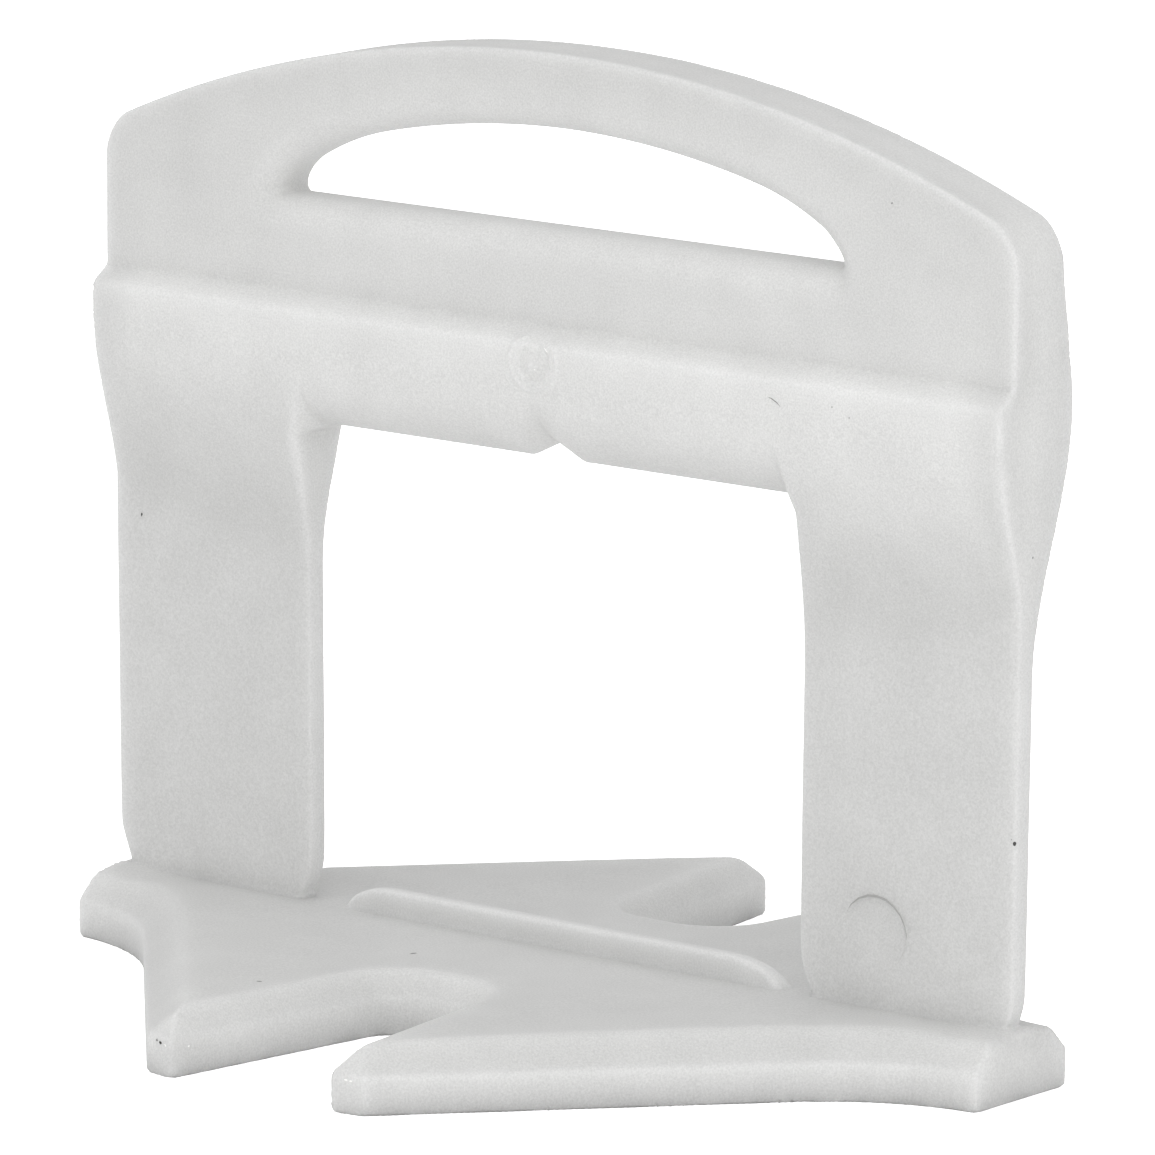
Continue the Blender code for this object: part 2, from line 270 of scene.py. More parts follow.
# %% Section of the bridge
LEG_HALF = 0.5
FRONT_BULGE = 2.06
FRONT_FULL = 28.3
FRONT_FADE_INNER = 17.05
FRONT_FADE_OUTER = 20.65
FRONT_HANDLE = 1.09
OUTER_SHARE = 0.5
LEDGE_START = 29.2
LEDGE_HEIGHT = 0.95
REAR_BULGE = 3.0
REAR_FULL = 28.8
REAR_FADE = 17.8
REAR_HANDLE = 2.22
REAR_TAPER_TOP = 36.0
FRONT_NOSE = 3.0
REAR_NOSE = 2.8
NOSE_TIP = 0.5
LEG_EDGE = 0.2
LEG_EDGE_TOP = 0.47
LEG_EDGE_START = 17.0
LEG_TIP = 0.1
NOSE_RUN_OUT = 0.45
NOSE_REACH = 1.6
OUTER_EDGE = 0.16


def front_distance(x, z):
    outward = ease((np.abs(x) - WINDOW_HALF_WIDTH) / (HALF_WIDTH - WINDOW_HALF_WIDTH))
    start = blend(FRONT_FADE_INNER, FRONT_FADE_OUTER, outward)
    swell = np.clip((z - start) / (FRONT_FULL - start), 0.0, 1.0)
    inner = ease(swell)
    outer = np.sin(swell * pi / 2)
    bulge = LEG_HALF + (FRONT_BULGE - LEG_HALF) * blend(inner, outer, OUTER_SHARE * outward)
    step = ease((z - LEDGE_START) / LEDGE_HEIGHT)
    return blend(bulge, FRONT_HANDLE, step) + marks(x, z)


def rear_distance(z):
    swell = ease((z - REAR_FADE) / (REAR_FULL - REAR_FADE))
    taper = ease((z - REAR_FULL) / (REAR_TAPER_TOP - REAR_FULL))
    return LEG_HALF + (REAR_BULGE - LEG_HALF) * swell - (REAR_BULGE - REAR_HANDLE) * taper


def bridge_field(x, y, z):
    front = -y - front_distance(x, z)
    rear = y - rear_distance(z)
    window = soft_join(underside(x, z), window_side(x, z), WINDOW_CORNER)
    in_middle = ease((WINDOW_HALF_WIDTH + NOSE_RUN_OUT - np.abs(x)) / (2 * NOSE_RUN_OUT))
    in_middle = in_middle * ease((z - WINDOW_TOP + NOSE_REACH) / NOSE_REACH)
    swollen = ease((z - LEG_EDGE_START) / (WINDOW_TOP - LEG_EDGE_START))
    leg_edge = blend(LEG_EDGE, LEG_EDGE_TOP, swollen)
    front_nose = soft_cross(window, front, blend(leg_edge, FRONT_NOSE, in_middle))
    rear_nose = soft_cross(window, rear, blend(LEG_EDGE, REAR_NOSE, in_middle))
    bridge = soft_cross(front_nose, rear_nose, blend(LEG_TIP, NOSE_TIP, in_middle))
    bridge = soft_cross(bridge, outer_outline(x, z), OUTER_EDGE)
    return soft_cross(bridge, -slot_outline(x, z), SLOT_LIP)


print("the crossbar is", round(FRONT_BULGE + REAR_BULGE, 2), "mm thick")

# %% [markdown]
# ### The foot
#
# The foot is the same on all four quarters, so the field folds the plane twice with absolute values and
# describes one quarter. A straight outer edge runs from the tip of the wing to a hollow waist, and the
# waist runs on to a narrow block under the leg. The wall stands upright for 1.65 mm. Above it every edge
# leans in to a top that dips a little towards the gap.

# %% Plan of the foot
END_INSET = 0.03
FOOT_HALF_LENGTH = HALF_WIDTH - END_INSET
END_HALF_WIDTH = 3.12
WAIST_RADIUS = 10.0
WING_ANGLE = radians(47.9)
WING_ALONG = (cos(WING_ANGLE), -sin(WING_ANGLE))
WING_OUT = (sin(WING_ANGLE), cos(WING_ANGLE))
TIP_OUTER = (6.0, 19.88)
TIP_INNER = (4.36, 20.19)
GAP_FLOOR = 7.9
GAP_HALF_WIDTH = 2.97
GAP_MIDDLE = 10.5
GAP_DRAFT = radians(8.2)
GAP_CORNER_RADIUS = 1.5
WING_REACH = TIP_OUTER[0] * WING_OUT[0] + TIP_OUTER[1] * WING_OUT[1]
WAIST_Y = END_HALF_WIDTH + WAIST_RADIUS
WAIST_X = (WING_REACH + WAIST_RADIUS - WAIST_Y * WING_OUT[1]) / WING_OUT[0]


def outer_edge(x, y):
    """The wing's straight edge, the hollow waist and the end block's side, as one run."""
    wing = x * WING_OUT[0] + y * WING_OUT[1] - WING_REACH
    block = y - END_HALF_WIDTH
    from_x = x - WAIST_X
    from_y = y - WAIST_Y
    waist = WAIST_RADIUS - np.hypot(from_x, from_y)
    in_waist = (from_x <= 0.0) & (from_x * WING_ALONG[0] + from_y * WING_ALONG[1] >= 0.0)
    in_waist &= from_y < 0.0
    return np.where(in_waist, waist, np.minimum(wing, block))


def gap_edge(x, y):
    wall = (GAP_HALF_WIDTH - x) * cos(GAP_DRAFT) + (y - GAP_MIDDLE) * sin(GAP_DRAFT)
    floor = y - GAP_FLOOR
    return -soft_cross(-wall, -floor, GAP_CORNER_RADIUS)


def tip_edge(x, y):
    slant_x = TIP_OUTER[0] - TIP_INNER[0]
    slant_y = TIP_INNER[1] - TIP_OUTER[1]
    length = sqrt(slant_x**2 + slant_y**2)
    return ((y - TIP_INNER[1]) * slant_x + (x - TIP_INNER[0]) * slant_y) / length


print("the waist's circle stands at", round(WAIST_X, 2), round(WAIST_Y, 2), "mm")

# %% Height of the foot
WALL_HEIGHT = 1.66
WING_SLOPE = 0.79
GAP_SLOPE = 1.2
TIP_SLOPE = 1.1
END_SLOPE = 1.0
TOP_AT_GAP = 2.75
TOP_AT_EDGE = 2.94
END_RIDGE = 3.0
END_RIDGE_SLOPE = 0.15
END_BLEND_START, END_BLEND_RUN = 20.5, 3.0
GAP_ZONE = 3.0
CRISP = 0.1
GAP_ROUNDING = 0.15
BEVEL_ROUNDING = 0.12
TOP_ROUNDING = 0.2
WALL_ROUNDING = 0.13
FLOOR_ROUNDING = 0.09


def lean_in(z, edge, slope):
    """Distance from a bevel that starts at the wall's top and leans in from an edge."""
    return (z - WALL_HEIGHT + slope * edge) / np.hypot(1.0, slope)


def foot_field(x, y, z):
    x = np.abs(x)
    y = np.abs(y)
    outer = outer_edge(x, y)
    gap = np.where(y > GAP_FLOOR - GAP_ZONE, gap_edge(x, y), y - GAP_FLOOR)
    tip = tip_edge(x, y)
    end = x - FOOT_HALF_LENGTH
    at_end = ease((x - END_BLEND_START) / END_BLEND_RUN)
    towards_edge = np.clip(-gap / np.maximum(-gap - outer, 0.1), 0.0, 1.0)
    top = blend(TOP_AT_GAP, TOP_AT_EDGE, towards_edge)
    end_ridge = END_RIDGE - END_RIDGE_SLOPE * np.maximum(y - LEG_HALF, 0.0)
    top = blend(top, end_ridge, at_end)
    outer_bevel = lean_in(z, outer, blend(WING_SLOPE, END_SLOPE, at_end))
    bevels = soft_cross(outer_bevel, lean_in(z, gap, GAP_SLOPE), BEVEL_ROUNDING)
    bevels = soft_cross(bevels, lean_in(z, tip, TIP_SLOPE), CRISP)
    roof = soft_cross(bevels, z - top, blend(TOP_ROUNDING, CRISP, at_end))
    plan = soft_cross(soft_cross(outer, gap, GAP_ROUNDING), tip, CRISP)
    plan = soft_cross(plan, end, CRISP)
    foot = soft_cross(plan, roof, WALL_ROUNDING)
    return soft_cross(foot, -z, FLOOR_ROUNDING)


print("the top lies", TOP_AT_GAP, "to", TOP_AT_EDGE, "mm high")

# %% [markdown]
# ### The rib, and the whole clip
#
# A low rib on the foot keeps it from bending when the wedge pulls. Its ends come down in a long curve, so
# that the moulding leaves the tool easily. The bridge, the rib and the foot are joined with small fillets.
# The rib and the bridge end inside the foot, a millimetre above the floor.

# %% Rib and whole clip
RIB_HALF_THICKNESS = 0.45
RIB_FLAT = 9.3
RIB_END_LEFT = 2.4
RIB_END_RIGHT = 3.2
RIB_FOOT = 2.67
RIB_RISE = 1.25
RIB_EDGE = 0.25
RIB_FILLET = 0.2
BRIDGE_FILLET = 0.15
INSIDE_FOOT = 1.0


def rib_field(x, y, z):
    end = np.where(x < 0.0, RIB_END_LEFT, RIB_END_RIGHT)
    across = np.maximum(np.abs(x) - RIB_FLAT, 0.0)
    above = np.maximum(z - RIB_FOOT, 0.0)
    reach = np.hypot(across / end, above / RIB_RISE)
    steep = np.hypot(across / end**2, above / RIB_RISE**2) / np.maximum(reach, 0.01)
    profile = (reach - 1.0) / np.maximum(steep, 0.2)
    return soft_cross(profile, np.abs(y) - RIB_HALF_THICKNESS, RIB_EDGE)


def clip_field(points):
    x, y, z = points.T
    bridge = np.maximum(bridge_field(x, y, z), INSIDE_FOOT - z)
    rib = np.maximum(rib_field(x, y, z), INSIDE_FOOT - z)
    clip = soft_join(foot_field(x, y, z), rib, RIB_FILLET)
    return soft_join(clip, bridge, BRIDGE_FILLET)


leg_middle = float(clip_field(np.array([[19.0, 0.0, 10.0]]))[0])
print("the middle of a leg lies", round(leg_middle, 2), "mm deep")

# %% [markdown]
# ## From the field to a mesh
#
# Blender's Remesh modifier covers the plain solid with small, even quads. Each point then slides along the
# field's slope until the field is zero, which puts it on the soft surface. Between the slides the points
# relax towards their neighbours, so that the quads stay even. The slope of the field is also the exact
# normal, and the mesh keeps it for its shading.

# %% Even quads over the solid
QUAD_SIZE = 0.38


def cover_with_quads(node, name):
    mesh = node.data.copy()
    piece = bpy.data.objects.new(name, mesh)
    bpy.context.scene.collection.objects.link(piece)
    remesh = piece.modifiers.new("even_quads", "REMESH")
    remesh.mode = "VOXEL"
    remesh.voxel_size = QUAD_SIZE * MM
    bpy.context.view_layer.update()
    graph = bpy.context.evaluated_depsgraph_get()
    covered = bpy.data.meshes.new_from_object(piece.evaluated_get(graph))
    piece.modifiers.clear()
    piece.data = covered
    covered.name = name
    return piece


moulding = cover_with_quads(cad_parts[CLIP], "soft_moulding")
print("quads:", len(moulding.data.polygons))

# %% Slide the points onto the surface
STEP = 0.02
LONGEST_MOVE = 0.2
LEAST_STEEP = 0.05


def slope_of(field, points):
    slope = np.empty_like(points)
    for axis in range(3):
        nudge = np.zeros(3)
        nudge[axis] = STEP
        slope[:, axis] = (field(points + nudge) - field(points - nudge)) / (2 * STEP)
    return slope


def slide(field, points, rounds):
    for _ in range(rounds):
        slope = slope_of(field, points)
        steep = np.maximum((slope**2).sum(axis=1), LEAST_STEEP)
        move = np.clip(field(points) / steep, -LONGEST_MOVE, LONGEST_MOVE)
        points = points - slope * move[:, None]
    return points


def relax(points, edges, share):
    """Moves each point part of the way to the middle of its neighbours."""
    total = np.zeros_like(points)
    count = np.zeros(len(points))
    for near, far in ((0, 1), (1, 0)):
        np.add.at(total, edges[:, near], points[edges[:, far]])
        np.add.at(count, edges[:, near], 1.0)
    return blend(points, total / count[:, None], share)


def read_numbers(items, name, kind, width=1):
    """A mesh's numbers as an array, such as its points or its edges' ends."""
    flat = np.empty(len(items) * width, dtype=kind)
    items.foreach_get(name, flat)
    return flat.reshape(-1, width) if width > 1 else flat


def settle(piece, field, share, rounds):
    """Slides a piece's points onto the field, and relaxes them along it."""
    mesh = piece.data
    points = read_numbers(mesh.vertices, "co", np.float32, 3).astype(float) / MM
    edges = read_numbers(mesh.edges, "vertices", np.int32, 2)
    points = slide(field, points, 3)
    for _ in range(rounds):
        points = slide(field, relax(points, edges, share), 2)
    points = slide(field, points, 2)
    mesh.vertices.foreach_set("co", (points * MM).astype(np.float32).ravel())
    mesh.update()
    return points


points = settle(moulding, clip_field, 0.5, 4)
print("points:", len(points))

# %% [markdown]
# The quads are too coarse for the tight edges and for the marks of the mould. So each face over which the
# slope turns by many degrees is cut in four, its new points slide onto the surface, and the same is done
# once more. The flat parts keep their large quads.

# %% Finer quads where the surface turns
TURN_LIMITS = [12.5, 13.5]
MARK_ZONES = [(*GATE, 0.8, 0.9)] + [(x, z, radius, 0.3) for x, z, radius, _ in PIN_MARKS]
FACES_FRONT = -0.7
OFF_SURFACE = 0.02


def normals_of(field, points):
    slope = slope_of(field, points)
    return slope / np.linalg.norm(slope, axis=1)[:, None]


def faces_that_turn(mesh, points, normals, limit):
    """The faces whose corner normals turn from their mean by more than the limit, or that hold a mark."""
    corners = read_numbers(mesh.loops, "vertex_index", np.int32)
    starts = read_numbers(mesh.polygons, "loop_start", np.int32)
    counts = read_numbers(mesh.polygons, "loop_total", np.int32)
    picked = normals[corners]
    middle = np.add.reduceat(picked, starts, axis=0)
    middle /= np.linalg.norm(middle, axis=1)[:, None]
    turn = (picked * np.repeat(middle, counts, axis=0)).sum(axis=1)
    chosen = np.minimum.reduceat(turn, starts) < cos(radians(limit))
    centres = np.add.reduceat(points[corners], starts, axis=0) / counts[:, None]
    for x, z, radius, band in MARK_ZONES:
        from_mark = np.hypot(centres[:, 0] - x, centres[:, 2] - z)
        chosen |= (np.abs(from_mark - radius) < band) & (middle[:, 1] < FACES_FRONT)
    return np.nonzero(chosen)[0]


def cut_in_four(mesh, faces):
    shape = bmesh.new()
    shape.from_mesh(mesh)
    shape.faces.ensure_lookup_table()
    edges = list({edge for index in faces for edge in shape.faces[index].edges})
    bmesh.ops.subdivide_edges(shape, edges=edges, cuts=1, use_grid_fill=True)
    shape.to_mesh(mesh)
    shape.free()


for limit in TURN_LIMITS:
    normals = normals_of(clip_field, points)
    cut_in_four(moulding.data, faces_that_turn(moulding.data, points, normals, limit))
    points = settle(moulding, clip_field, 0.3, 2)
leftover = np.abs(clip_field(points))
triangles = sum(face.loop_total - 2 for face in moulding.data.polygons)
print("triangles:", triangles, "points off the surface:", int((leftover > OFF_SURFACE).sum()))

# %% Normals, and how thick the wall is under each point
DEEPEST = 5.0
DEPTH_STEP = 0.25
WALL_SMOOTHING = 6


def wall_thickness(field, points, normals):
    """How much plastic lies behind a point: the mean of the way straight in and the wall's thickness."""
    straight_in = np.full(len(points), DEEPEST)
    deepest = np.zeros(len(points))
    inside = np.ones(len(points), dtype=bool)
    for depth in np.arange(DEPTH_STEP, DEEPEST, DEPTH_STEP):
        value = field(points - normals * depth)
        left = inside & (value > 0.0)
        straight_in[left] = depth
        inside &= ~left
        deepest = np.where(inside, np.maximum(deepest, -value), deepest)
    return np.sqrt(straight_in * 2.0 * deepest)


normals = normals_of(clip_field, points)
moulding.data.shade_smooth()
moulding.data.normals_split_custom_set_from_vertices(normals.astype(np.float32))
thickness = wall_thickness(clip_field, points, normals)
edges = read_numbers(moulding.data.edges, "vertices", np.int32, 2)
for _ in range(WALL_SMOOTHING):
    thickness = relax(thickness[:, None], edges, 0.5)[:, 0]
# The thickness picks the painted shade that greys thin walls in the material.
wall = moulding.data.attributes.new("wall_mm", "FLOAT", "POINT")
wall.data.foreach_set("value", thickness.astype(np.float32))
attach(moulding, "root")
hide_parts(CLIP)
print("walls from", round(float(thickness.min()), 2), "to", round(float(thickness.max()), 2), "mm")

# %% [markdown]
# ## Natural polypropylene
#
# Natural polypropylene is the undyed plastic of food tubs and ropes. It is milky, because light enters it
# and scatters, so edges look soft. A thin wall lets light out at its back, so it looks greyer than a thick
# one. Besides the scattering, that grey is painted into the base colour by the wall's thickness, as painted
# shade. The tool for such clips is only roughly polished, which leaves a satin skin with a fine grain.
# Colours are written as sRGB hex values, as in a paint program, and one function turns them into the linear
# values that Blender works with. The real grain is some hundredths of a millimetre and would not show, so
# it is drawn coarser.

# %% Colour and node helpers


def linear(hex_colour):
    """An sRGB hex colour as linear red, green, blue and alpha."""
    values = []
    for start in (1, 3, 5):
        value = int(hex_colour[start:start + 2], 16) / 255.0
        values.append(value / 12.92 if value <= 0.04045 else ((value + 0.055) / 1.055) ** 2.4)
    return (*values, 1.0)


def add_node(tree, kind, links=None, **settings):
    """Adds a node, sets its properties and sockets, and links sockets to other nodes' outputs."""
    node = tree.nodes.new(kind)
    for name, value in settings.items():
        if hasattr(node, name):
            setattr(node, name, value)
        else:
            node.inputs[name].default_value = value
    for name, output in (links or {}).items():
        tree.links.new(output, node.inputs[name])
    return node


print("mid grey is", round(linear("#808080")[0], 3), "in linear light")

# %% Milky satin polypropylene
# THIN_WALL_PAINTED_SHADE is painted shade: the greyer colour thin walls get in place of the light they let
# through.
THIN_WALL_PAINTED_SHADE = "#C4C4C3"
THICK_COLOUR = "#DEDEDD"
THIN_WALL = 0.8
THICK_WALL = 5.0
GRAIN_SIZE = 0.09
CLOUD_SIZE = 3.0
CLOUD_SHARE = 0.25
SPECKLE_FROM = (0.375, 0.875)
SPECKLE_TO = (0.88, 1.12)
GRAIN_DEPTH = 0.02
SCATTER_SHARE = 0.85
SCATTER_REACH = 3.5
POLYMER_IOR = 1.49


def natural_polypropylene():
    """Milky and satin. A thin wall looks greyer because light escapes through it: painted shade in the
    colour.
    """
    material = bpy.data.materials.new("natural_polypropylene_satin")
    material.use_nodes = True
    tree = material.node_tree
    tree.nodes.clear()
    place = add_node(tree, "ShaderNodeTexCoord")
    wall = add_node(tree, "ShaderNodeAttribute", attribute_name="wall_mm")
    depth = add_node(tree, "ShaderNodeMapRange", {"Value": wall.outputs["Fac"]})
    depth.inputs["From Min"].default_value = THIN_WALL
    depth.inputs["From Max"].default_value = THICK_WALL
    wall_shaded_colour = add_node(tree, "ShaderNodeMix", {"Factor": depth.outputs["Result"]}, data_type="RGBA")
    wall_shaded_colour.inputs["A"].default_value = linear(THIN_WALL_PAINTED_SHADE)
    wall_shaded_colour.inputs["B"].default_value = linear(THICK_COLOUR)
    cloud = add_node(
        tree, "ShaderNodeTexNoise", {"Vector": place.outputs["Object"]},
        Scale=1.0 / (CLOUD_SIZE * MM), Detail=2.0, Roughness=0.5,
    )
    grain = add_node(
        tree, "ShaderNodeTexNoise", {"Vector": place.outputs["Object"]},
        Scale=1.0 / (GRAIN_SIZE * MM), Detail=2.0, Roughness=0.7,
    )
    both = add_node(
        tree, "ShaderNodeMath", {0: cloud.outputs["Fac"], 2: grain.outputs["Fac"]},
        operation="MULTIPLY_ADD",
    )
    both.inputs[1].default_value = CLOUD_SHARE
    speckle = add_node(tree, "ShaderNodeMapRange", {"Value": both.outputs["Value"]})
    speckle.inputs["From Min"].default_value, speckle.inputs["From Max"].default_value = SPECKLE_FROM
    speckle.inputs["To Min"].default_value, speckle.inputs["To Max"].default_value = SPECKLE_TO
    colour = add_node(
        tree, "ShaderNodeVectorMath", {0: wall_shaded_colour.outputs["Result"], "Scale": speckle.outputs["Result"]},
        operation="SCALE",
    )
    bump = add_node(
        tree, "ShaderNodeBump", {"Height": grain.outputs["Fac"]}, Strength=0.35, Distance=GRAIN_DEPTH * MM,
    )
    shader = add_node(
        tree, "ShaderNodeBsdfPrincipled",
        {"Base Color": colour.outputs["Vector"], "Normal": bump.outputs["Normal"]},
        Roughness=0.48, IOR=POLYMER_IOR,
    )
    shader.inputs["Subsurface Weight"].default_value = SCATTER_SHARE
    shader.inputs["Subsurface Radius"].default_value = (1.0, 1.0, 1.0)
    shader.inputs["Subsurface Scale"].default_value = SCATTER_REACH * MM
    add_node(tree, "ShaderNodeOutputMaterial", {"Surface": shader.outputs["BSDF"]})
    return material


polypropylene = natural_polypropylene()
moulding.data.materials.clear()
moulding.data.materials.append(polypropylene)
print("grain", GRAIN_SIZE, "mm, clouds", CLOUD_SIZE, "mm")

# %% [markdown]
# ## Specks, a hair, scuffs and painted glints
#
# Specks of burnt plastic come out of the mould's hot nozzle, dust and a hair stick to the clip, and corners
# that knock together are scuffed white. A thin dark thread at the rim of a pin mark is painted shade, where
# the rim's hollow lies in shade, and two white flakes at the gate are painted glints. A noise pattern could
# scatter such marks, but it can't put one in a given place. So each is a flake of a few tenths of a
# millimetre, with a ragged rim that is pressed a little into the surface, and the hair and the painted rim
# shade are thin threads. A flake is given by its place, its length, its width, its turn in degrees and its
# shade. A number on each point says how dark it is.

# %% Flakes and a hair on the surface
BURNT, GREY, FAINT, SCUFF_AND_GLINT = 0.0, 0.22, 0.45, 1.0
FLAKES = [
    (-23.43, -0.5, 18.88, 0.23, 0.14, 80, BURNT), (24.78, -0.5, 10.96, 0.2, 0.15, 90, BURNT),
    (24.63, -0.5, 11.12, 0.08, 0.08, 0, GREY), (-5.08, -20.05, 1.44, 0.2, 0.15, 0, BURNT),
    (-5.31, -20.0, 1.52, 0.16, 0.12, 0, GREY), (-5.43, -13.32, 2.8, 0.34, 0.26, 30, GREY),
    (-3.82, -5.13, 2.79, 0.45, 0.24, 80, GREY), (18.53, -1.1, 37.19, 0.15, 0.12, 40, GREY),
    (2.04, -1.2, 29.93, 0.19, 0.11, 0, FAINT), (16.25, -2.06, 28.52, 0.13, 0.12, 0, FAINT),
    (17.16, -2.06, 28.17, 0.13, 0.12, 0, FAINT), (24.95, 0.29, 22.92, 0.14, 0.13, 0, GREY),
    (-4.74, -20.12, 1.39, 0.17, 0.06, -45, SCUFF_AND_GLINT), (-4.24, -19.21, 1.28, 0.16, 0.1, 0, SCUFF_AND_GLINT),
    (5.14, -20.03, 1.48, 0.17, 0.1, 0, SCUFF_AND_GLINT), (5.37, -19.99, 1.45, 0.15, 0.1, 0, SCUFF_AND_GLINT),
    # The two white flakes at the gate are painted glints, painted highlights of the broken-off gate.
    (0.92, -2.06, 29.18, 0.3, 0.07, -41, SCUFF_AND_GLINT), (0.26, -2.06, 28.25, 0.12, 0.08, 0, SCUFF_AND_GLINT),
]
HAIR = [(12.84, -2.06, 28.55), (13.04, -2.06, 28.53), (13.35, -2.06, 28.38), (13.61, -2.06, 28.16)]
HAIR_RADIUS = 0.024
HAIR_SHADE = 0.12
# The thread at the pin mark's rim is painted shade: a dark line where the rim's hollow lies in shade.
RIM_SHADE_RADIUS = 0.06
RIM_SHADE_DARKNESS = 0.36
RIM_SHADE_REACH = 1.7
RIM_SHADE_TURNS = np.radians(np.linspace(154.0, 2.0, 10))
PIN_X, PIN_Z = PIN_MARKS[0][:2]
PIN_RIM_SHADE = [
    (PIN_X + RIM_SHADE_REACH * cos(turn), -LEG_HALF, PIN_Z + RIM_SHADE_REACH * sin(turn)) for turn in RIM_SHADE_TURNS
]
RIM_POINTS = 9
RAGGED = (0.75, 1.2)
FLAKE_SINK = 0.02
FLAKE_RISE = 0.012
THREAD_SINK = 0.4
THREAD_END = 0.2
THREAD_CORNERS = 6
random = np.random.default_rng(7)


def on_surface(places):
    """The nearest points of the moulding, and the directions straight out of it."""
    found = slide(clip_field, np.array(places, dtype=float), 6)
    return found, normals_of(clip_field, found)


def add_flake(shape, shade, place, out, length, width, turn, value):
    """A closed, ragged flake: a rim under the surface, a middle above it and a middle below it."""
    other = (1.0, 0.0, 0.0) if abs(out[0]) < 0.9 else (0.0, 1.0, 0.0)
    along = np.cross(np.cross(out, other), out)
    along /= np.linalg.norm(along)
    across = np.cross(out, along)
    ragged = random.uniform(*RAGGED, RIM_POINTS)
    rim = []
    for index, share in enumerate(ragged):
        angle = 2 * pi * index / RIM_POINTS
        reach, side = share * cos(angle) * length / 2, share * sin(angle) * width / 2
        step = along * (reach * cos(turn) - side * sin(turn))
        step = step + across * (reach * sin(turn) + side * cos(turn))
        rim.append(shape.verts.new((place + step - out * FLAKE_SINK / 4) * MM))
    above = shape.verts.new((place + out * FLAKE_RISE) * MM)
    under = shape.verts.new((place - out * FLAKE_SINK) * MM)
    for first, second in zip(rim, rim[1:] + rim[:1]):
        shape.faces.new((above, first, second))
        shape.faces.new((under, second, first))
    for point in (*rim, above, under):
        point[shade] = value


def add_thread(shape, shade, places, outs, radius, value):
    """A thin tube that lies half in the surface, and thins towards its ends."""
    pairs = zip(places, places[1:])
    line = [blend(near, far, share) for near, far in pairs for share in (0.0, 0.33, 0.67)]
    line = np.vstack([line, places[-1:]])
    rings = []
    for index, middle in enumerate(line):
        ahead = line[min(index + 1, len(line) - 1)] - line[max(index - 1, 0)]
        side = np.cross(ahead / np.linalg.norm(ahead), outs[0])
        thin = radius * (THREAD_END + (1.0 - THREAD_END) * sin(pi * index / (len(line) - 1)))
        middle = middle - outs[0] * radius * THREAD_SINK
        turns = np.arange(THREAD_CORNERS) * 2 * pi / THREAD_CORNERS
        ring = [middle + thin * (side * cos(turn) + outs[0] * sin(turn)) for turn in turns]
        rings.append([shape.verts.new(point * MM) for point in ring])
    for ring, after in zip(rings, rings[1:]):
        for corner in range(THREAD_CORNERS):
            shape.faces.new((ring[corner - 1], ring[corner], after[corner], after[corner - 1]))
    shape.faces.new(rings[0])
    shape.faces.new(rings[-1][::-1])
    for point in (point for ring in rings for point in ring):
        point[shade] = value


def make_flakes():
    shape = bmesh.new()
    shade = shape.verts.layers.float.new("shade")
    places, outs = on_surface([flake[:3] for flake in FLAKES])
    for place, out, (*_, length, width, turn, value) in zip(places, outs, FLAKES):
        add_flake(shape, shade, place, out, length, width, radians(turn), value)
    add_thread(shape, shade, *on_surface(HAIR), HAIR_RADIUS, HAIR_SHADE)
    # a dark thread of painted shade along the pin mark's rim
    add_thread(shape, shade, *on_surface(PIN_RIM_SHADE), RIM_SHADE_RADIUS, RIM_SHADE_DARKNESS)
    bmesh.ops.recalc_face_normals(shape, faces=shape.faces)
    mesh = bpy.data.meshes.new("specks_scuffs_and_glints")
    shape.to_mesh(mesh)
    shape.free()
    piece = bpy.data.objects.new("specks_scuffs_and_glints", mesh)
    bpy.context.scene.collection.objects.link(piece)
    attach(piece, "root")
    return piece


flakes = make_flakes()
print("flakes:", len(FLAKES), "faces:", len(flakes.data.polygons))

# %% Burnt specks, stress-whitened scuffs and painted glints
DARKEST = "#2C2A28"
WHITEST = "#FAFAF8"
MOTTLE = 0.05


def burnt_whitened_and_glint():
    """Charred plastic is dull and nearly black. A scuff is white from tiny cracks; this white also paints
    glints.
    """
    material = bpy.data.materials.new("burnt_and_whitened_polypropylene")
    material.use_nodes = True
    tree = material.node_tree
    tree.nodes.clear()
    shade = add_node(tree, "ShaderNodeAttribute", attribute_name="shade")
    place = add_node(tree, "ShaderNodeTexCoord")
    mottle = add_node(
        tree, "ShaderNodeTexNoise", {"Vector": place.outputs["Object"]},
        Scale=1.0 / (GRAIN_SIZE * MM), Detail=1.0,
    )
    uneven = add_node(
        tree, "ShaderNodeMath", {0: mottle.outputs["Fac"], 2: shade.outputs["Fac"]},
        operation="MULTIPLY_ADD",
    )
    uneven.inputs[1].default_value = MOTTLE
    colour = add_node(tree, "ShaderNodeMix", {"Factor": uneven.outputs["Value"]}, data_type="RGBA")
    colour.inputs["A"].default_value = linear(DARKEST)
    colour.inputs["B"].default_value = linear(WHITEST)
    shader = add_node(
        tree, "ShaderNodeBsdfPrincipled", {"Base Color": colour.outputs["Result"]},
        Roughness=0.6, IOR=POLYMER_IOR,
    )
    add_node(tree, "ShaderNodeOutputMaterial", {"Surface": shader.outputs["BSDF"]})
    return material


flakes.data.materials.append(burnt_whitened_and_glint())
print("flakes from", DARKEST, "to", WHITEST)

# %% [markdown]
# ## Floor and light
#
# The clip stands on white card under broad, soft light. The room is bright in front and above and darker
# behind, and one soft box a little to the right of the camera lifts the faces that look that way. The light
# stays low enough for the milky plastic to keep its greys. The card shows white to the camera, by a glow
# that only the camera sees, and still takes the clip's shadow.

# %% White floor
FLOOR_SIZE = 4.0
CARD_COLOUR = "#FAFAFA"
CARD_GLOW = (0.8, 0.8, 0.8, 1.0)


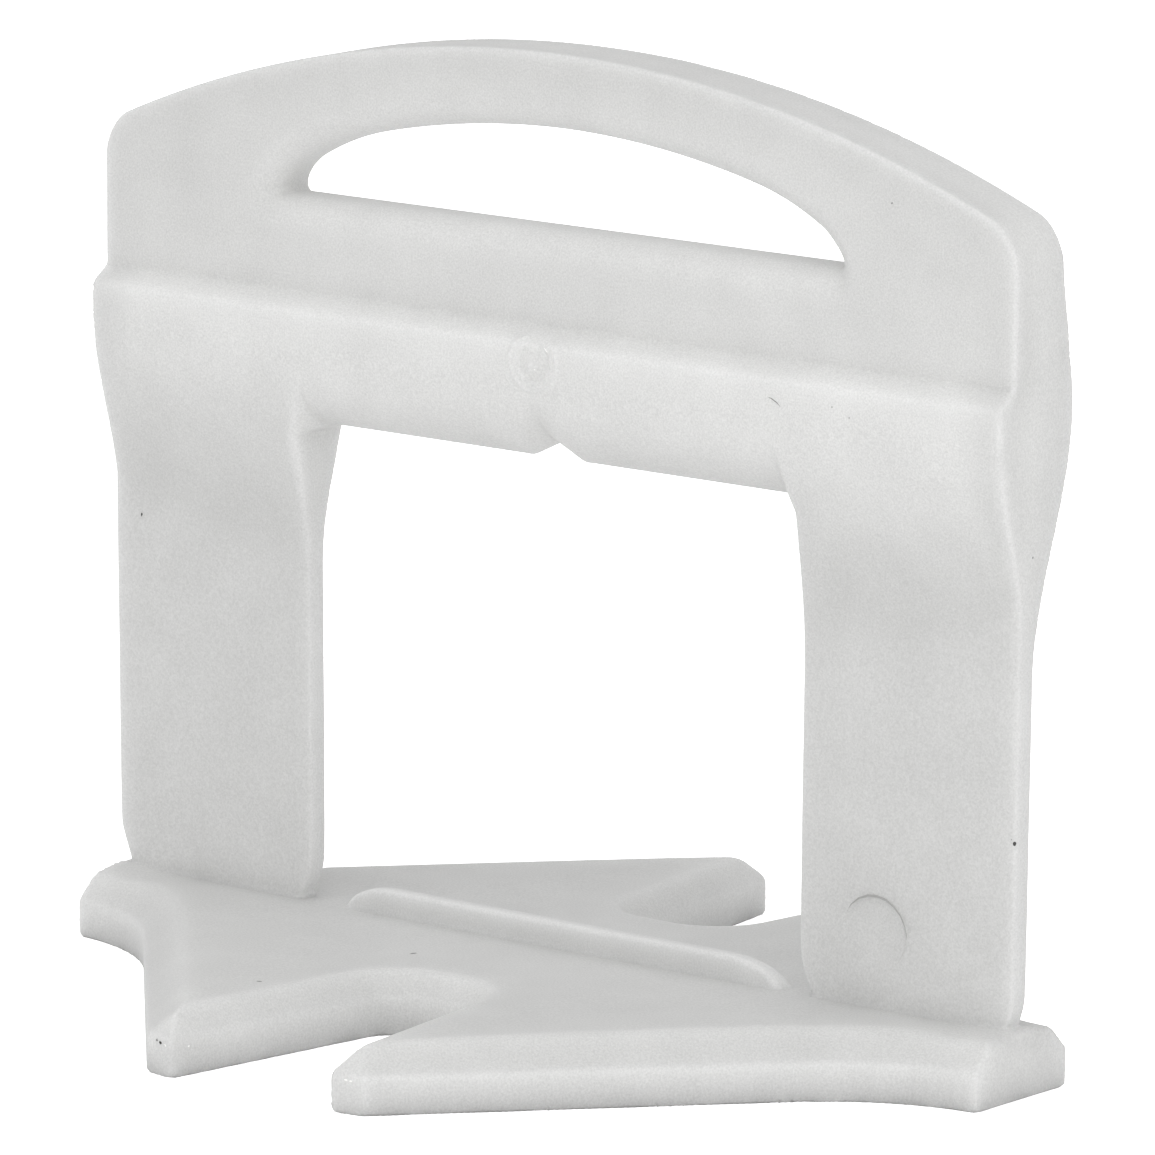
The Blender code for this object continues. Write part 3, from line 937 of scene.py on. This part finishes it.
def white_card():
    material = bpy.data.materials.new("white_card")
    material.use_nodes = True
    tree = material.node_tree
    tree.nodes.clear()
    path = add_node(tree, "ShaderNodeLightPath")
    shader = add_node(
        tree, "ShaderNodeBsdfPrincipled", {"Emission Strength": path.outputs["Is Camera Ray"]},
        Roughness=0.9,
    )
    shader.inputs["Base Color"].default_value = linear(CARD_COLOUR)
    shader.inputs["Emission Color"].default_value = CARD_GLOW
    add_node(tree, "ShaderNodeOutputMaterial", {"Surface": shader.outputs["BSDF"]})
    return material


def make_floor():
    shape = bmesh.new()
    bmesh.ops.create_grid(shape, x_segments=1, y_segments=1, size=FLOOR_SIZE / 2)
    mesh = bpy.data.meshes.new("white_floor")
    shape.to_mesh(mesh)
    shape.free()
    mesh.materials.append(white_card())
    floor = bpy.data.objects.new("white_floor", mesh)
    bpy.context.scene.collection.objects.link(floor)
    return floor


floor = make_floor()
print("floor", FLOOR_SIZE, "m wide")

# %% Soft light
KEY_TURN = radians(50.0)
KEY_HEIGHT = radians(10.0)
KEY_DISTANCE = 0.2
KEY_SIZE = 0.16
KEY_POWER = 0.1
AIM_HEIGHT = 0.02
ROOM_FRONT = 0.84
ROOM_BACK = 0.35
ROOM_TOP = 0.40
WHITE = (1.0, 1.0, 1.0, 1.0)


def soft_box(name, turn, height_angle, distance, size, power):
    """A square lamp that looks at the clip from an angle round it and an angle above the floor."""
    lamp = bpy.data.lights.new(name, "AREA")
    lamp.shape = "SQUARE"
    lamp.size = size
    lamp.energy = power
    box = bpy.data.objects.new(name, lamp)
    away = Vector((sin(turn) * cos(height_angle), -cos(turn) * cos(height_angle), sin(height_angle)))
    box.location = away * distance + Vector((0.0, 0.0, AIM_HEIGHT))
    box.rotation_euler = away.to_track_quat("Z", "Y").to_euler()
    bpy.context.scene.collection.objects.link(box)
    return box


soft_box("key_box", KEY_TURN, KEY_HEIGHT, KEY_DISTANCE, KEY_SIZE, KEY_POWER)

world = bpy.data.worlds.new("white_room")
bpy.context.scene.world = world
world.use_nodes = True
room = world.node_tree
room.nodes.clear()
direction = add_node(room, "ShaderNodeTexCoord")
parts = add_node(room, "ShaderNodeSeparateXYZ", {"Vector": direction.outputs["Generated"]})
towards_back = add_node(room, "ShaderNodeMapRange", {"Value": parts.outputs["Y"]})
towards_back.inputs["From Min"].default_value = -1.0
towards_back.inputs["To Min"].default_value = ROOM_FRONT
towards_back.inputs["To Max"].default_value = ROOM_BACK
towards_top = add_node(
    room, "ShaderNodeMath", {0: parts.outputs["Z"], 2: towards_back.outputs["Result"]},
    operation="MULTIPLY_ADD",
)
towards_top.inputs[1].default_value = ROOM_TOP
camera_path = add_node(room, "ShaderNodeLightPath")
room_light = add_node(room, "ShaderNodeBackground", {"Strength": towards_top.outputs["Value"]})
seen_white = add_node(room, "ShaderNodeBackground", Strength=1.0)
shown = add_node(
    room, "ShaderNodeMixShader",
    {0: camera_path.outputs["Is Camera Ray"], 1: room_light.outputs[0], 2: seen_white.outputs[0]},
)
room_light.inputs["Color"].default_value = WHITE
seen_white.inputs["Color"].default_value = WHITE
add_node(room, "ShaderNodeOutputWorld", {"Surface": shown.outputs[0]})
bpy.context.scene.view_settings.view_transform = "Standard"
